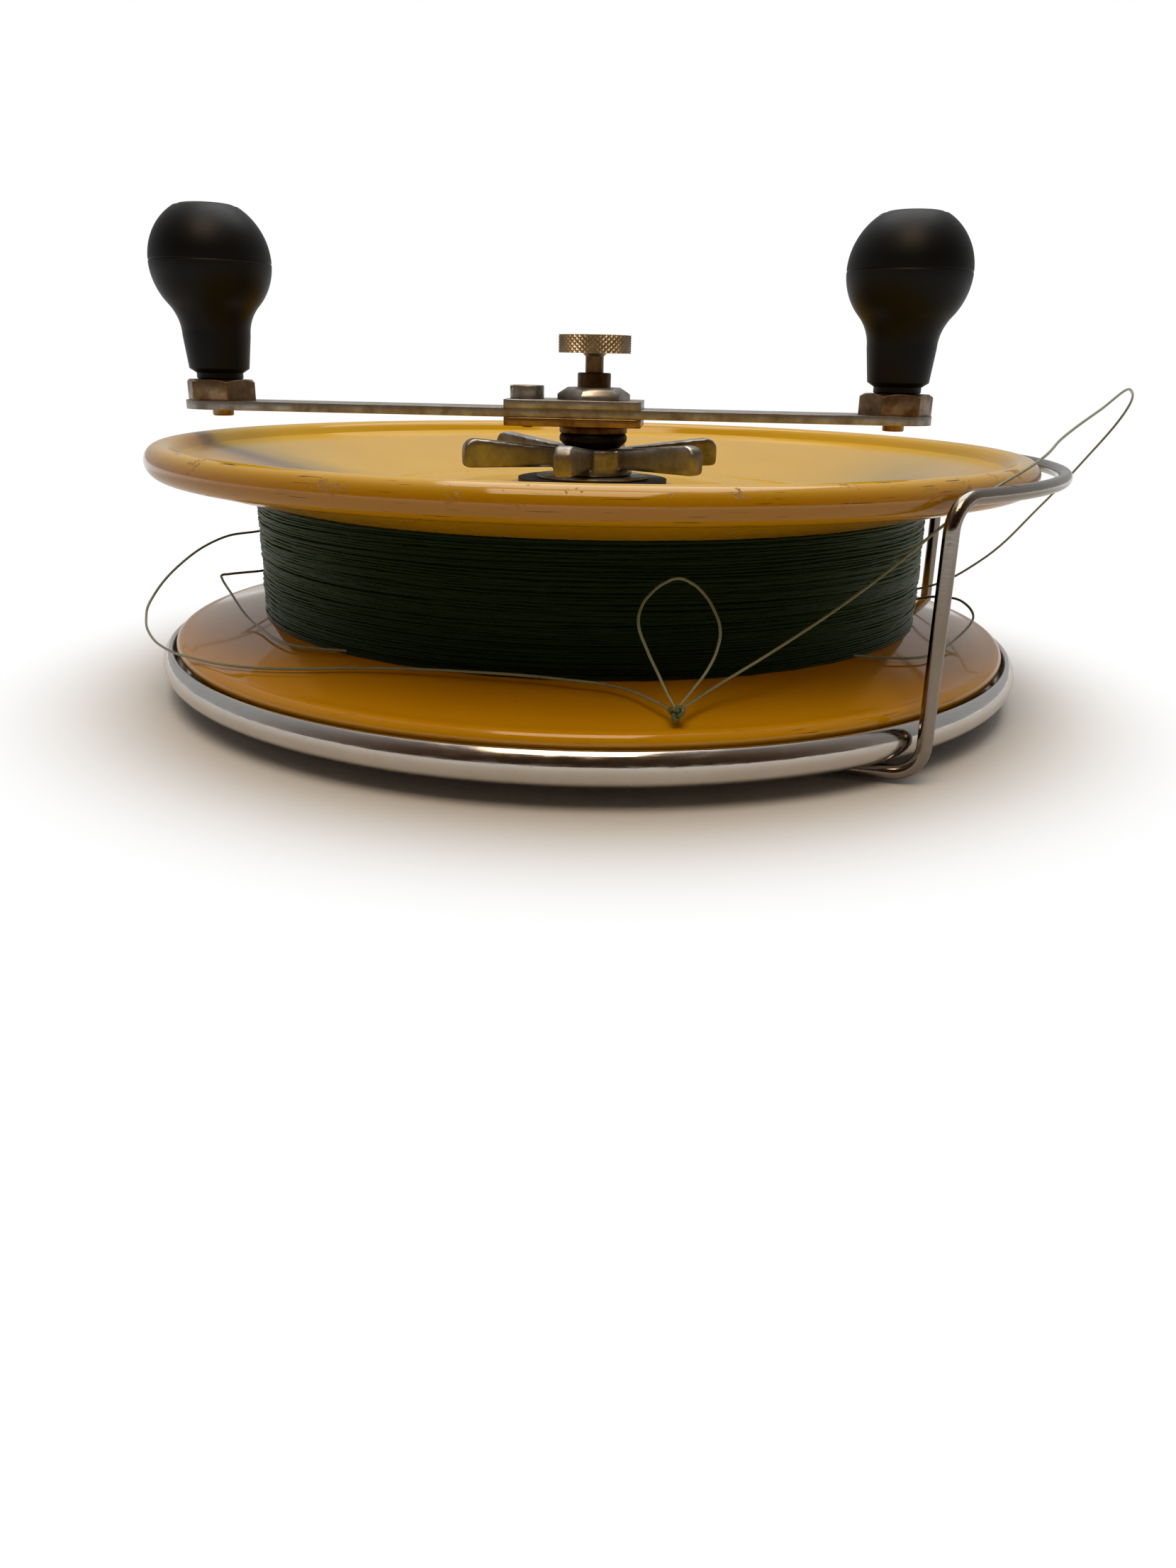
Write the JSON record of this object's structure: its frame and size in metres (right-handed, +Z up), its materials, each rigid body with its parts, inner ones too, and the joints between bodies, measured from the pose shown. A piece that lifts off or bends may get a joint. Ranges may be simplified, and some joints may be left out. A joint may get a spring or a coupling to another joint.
{
  "type": "fishing reel",
  "caption": "Centre-pin fishing reel with a dished spool of line, a star drag wheel, a double handle with ball knobs, a wire line guard and a foot for a rod.",
  "frame": {"origin": "on the axis of the spool, at the underside of the leg, which the reel lies on", "axes": "+Z up along the spool's axis to the handle, +X to the line guard, +Y to the foot"},
  "size_m": [0.2075, 0.194, 0.0942],
  "materials": {
    "stainless_steel": "pressed and polished sheet and wire, scuffed",
    "nickel_plate": "nickel plate, dulled and tarnished brown",
    "brass": "worn plate over brass",
    "yellow_plastic": "glossy moulding, scratched at the lip",
    "fishing_line": "smooth dark green line",
    "drag_leather": "oiled, dark",
    "black_plastic": "moulded, matt"
  },
  "bodies": {
    "root": {"back_plate": "stainless_steel", "spindle": "nickel_plate", "reel_leg": "stainless_steel", "reel_foot": "stainless_steel", "leg_rivets": "stainless_steel", "foot_rivets": "stainless_steel", "line_guard": "stainless_steel", "pawl_post": "nickel_plate", "pawl_spring": "nickel_plate", "line_tail_left": "fishing_line", "line_tail_right": "fishing_line", "line_end_loop": "fishing_line", "line_knot": "fishing_line", "line_slack_left": "fishing_line", "line_slack_right": "fishing_line"},
    "pawl": {"ratchet_pawl": "nickel_plate"},
    "handle": {"drive_sleeve": "nickel_plate", "ratchet_wheel": "nickel_plate", "pressure_plate": "nickel_plate", "spacer_bush": "black_plastic", "handle_collar": "brass", "lower_lock_plate": "nickel_plate", "handle_arm": "nickel_plate", "upper_lock_plate": "nickel_plate", "lock_screw": "nickel_plate", "centre_nut": "nickel_plate", "knob_pin_long": "nickel_plate", "knob_pin_short": "nickel_plate", "knob_nuts": "nickel_plate"},
    "spool": {"spool": "yellow_plastic", "spool_bush": "brass", "line_core": "fishing_line", "line_winding": "fishing_line", "drag_washer_upper": "drag_leather", "drag_washer_lower": "drag_leather"},
    "star": {"star_wheel": "nickel_plate"},
    "knob_long": {"knob_long": "black_plastic", "knob_cap_long": "black_plastic"},
    "knob_short": {"knob_short": "black_plastic", "knob_cap_short": "black_plastic"},
    "thumb_screw": {"thumb_screw": "brass"}
  },
  "joints": [
    {"name": "handle_turn", "type": "hinge", "parent": "root", "child": "handle", "pos_m": [0, 0, 0.03], "axis": [0, 0, 1], "continuous": true},
    {"name": "drag_slip", "type": "hinge", "parent": "handle", "child": "spool", "pos_m": [0, 0, 0.03], "axis": [0, 0, 1], "continuous": true},
    {"name": "star_turn", "type": "hinge", "parent": "handle", "child": "star", "pos_m": [0, 0, 0.045], "axis": [0, 0, 1], "range_deg": [-180, 180]},
    {"name": "knob_long_spin", "type": "hinge", "parent": "handle", "child": "knob_long", "pos_m": [-0.08043, 0.00774, 0.078], "axis": [0, 0, 1], "continuous": true},
    {"name": "knob_short_spin", "type": "hinge", "parent": "handle", "child": "knob_short", "pos_m": [0.06241, -0.00601, 0.078], "axis": [0, 0, 1], "continuous": true},
    {"name": "thumb_turn", "type": "hinge", "parent": "root", "child": "thumb_screw", "pos_m": [0, 0, 0.055], "axis": [0, 0, 1], "range_deg": [-360, 360]},
    {"name": "pawl_swing", "type": "hinge", "parent": "root", "child": "pawl", "pos_m": [-0.00235, 0.0269, 0.008], "axis": [0, 0, 1], "range_deg": [-8, 0]}
  ]
}
